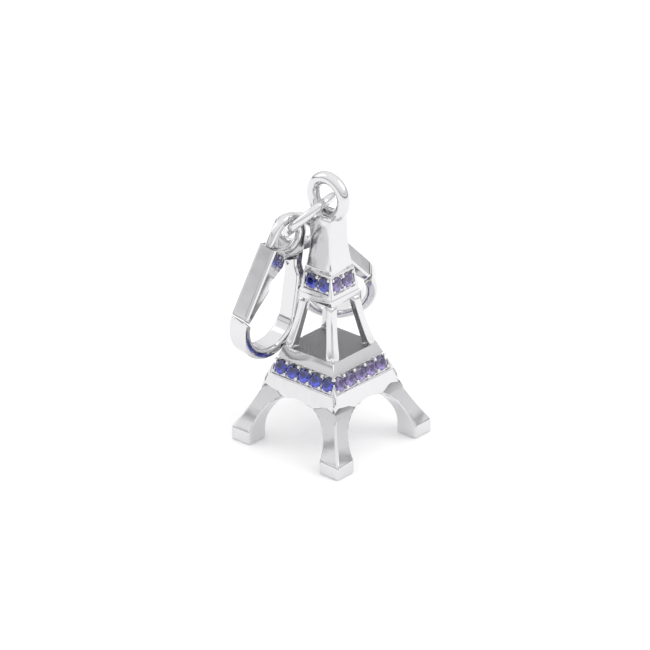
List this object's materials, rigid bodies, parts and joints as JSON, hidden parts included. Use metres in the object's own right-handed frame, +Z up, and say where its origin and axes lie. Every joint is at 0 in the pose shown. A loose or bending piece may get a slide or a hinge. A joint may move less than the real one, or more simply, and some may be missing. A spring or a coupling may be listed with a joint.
{
  "type": "keychain",
  "caption": "Silver tower charm with stone-set bands on a jump ring, with two sprung trigger clasps for hanging on keys or a bag.",
  "frame": {"origin": "on the standing surface under the middle of the tower", "axes": "+Z up the tower, faces of the tower along X and Y, clasps hanging on the -X side"},
  "size_m": [0.0228, 0.0274, 0.0446],
  "materials": {
    "polished_silver": "mirror polished, rhodium bright",
    "satin_silver": "fine satin, darkened",
    "blue_stone": "faceted, clear deep blue",
    "violet_stone": "faceted, clear violet",
    "spring_steel": "bright drawn wire"
  },
  "bodies": {
    "tower": {"leg_base": "polished_silver", "lower_band": "polished_silver", "floor_plate": "satin_silver", "strut_front_right": "polished_silver", "strut_back_right": "polished_silver", "strut_back_left": "polished_silver", "strut_front_left": "polished_silver", "upper_band": "polished_silver", "spire": "polished_silver", "bail": "polished_silver", "lower_stones_front": "blue_stone", "lower_stones_right": "violet_stone", "lower_stones_back": "blue_stone", "lower_stones_left": "violet_stone", "upper_stones_front": "blue_stone", "upper_stones_right": "violet_stone", "upper_stones_back": "blue_stone", "upper_stones_left": "violet_stone"},
    "ring": {"jump_ring": "polished_silver"},
    "side_clasp": {"side_clasp_body": "polished_silver", "side_clasp_hinge_pin": "polished_silver"},
    "side_clasp_gate": {"side_clasp_gate": "polished_silver", "side_clasp_gate_spring": "spring_steel"},
    "rear_clasp": {"rear_clasp_body": "polished_silver", "rear_clasp_hinge_pin": "polished_silver"},
    "rear_clasp_gate": {"rear_clasp_gate": "polished_silver", "rear_clasp_gate_spring": "spring_steel"}
  },
  "joints": [
    {"name": "ring_swing", "type": "hinge", "parent": "tower", "child": "ring", "pos_m": [-0.00057, 0, 0.03959], "axis": [-0.1067, 0.988, 0.1116], "range_deg": [0, 45]},
    {"name": "side_clasp_swing", "type": "hinge", "parent": "ring", "child": "side_clasp", "pos_m": [-0.00359, -0.00433, 0.03576], "axis": [-0.7296, 0.0965, -0.677], "range_deg": [0, 30]},
    {"name": "side_clasp_gate_hinge", "type": "hinge", "parent": "side_clasp", "child": "side_clasp_gate", "pos_m": [-0.00549, -0.00689, 0.03174], "axis": [0.9929, -0.0486, -0.1083], "range_deg": [0, 20], "stiffness_Nm_per_rad": 0.0004, "springref_deg": -20.05},
    {"name": "rear_clasp_swing", "type": "hinge", "parent": "ring", "child": "rear_clasp", "pos_m": [-0.0069, 0.00145, 0.03385], "axis": [0.1409, 0.9312, 0.3362], "range_deg": [0, 15]},
    {"name": "rear_clasp_gate_hinge", "type": "hinge", "parent": "rear_clasp", "child": "rear_clasp_gate", "pos_m": [-0.0052, 0.00339, 0.03117], "axis": [-0.6067, 0.7012, 0.3745], "range_deg": [0, 20], "stiffness_Nm_per_rad": 0.0004, "springref_deg": -20.05}
  ]
}
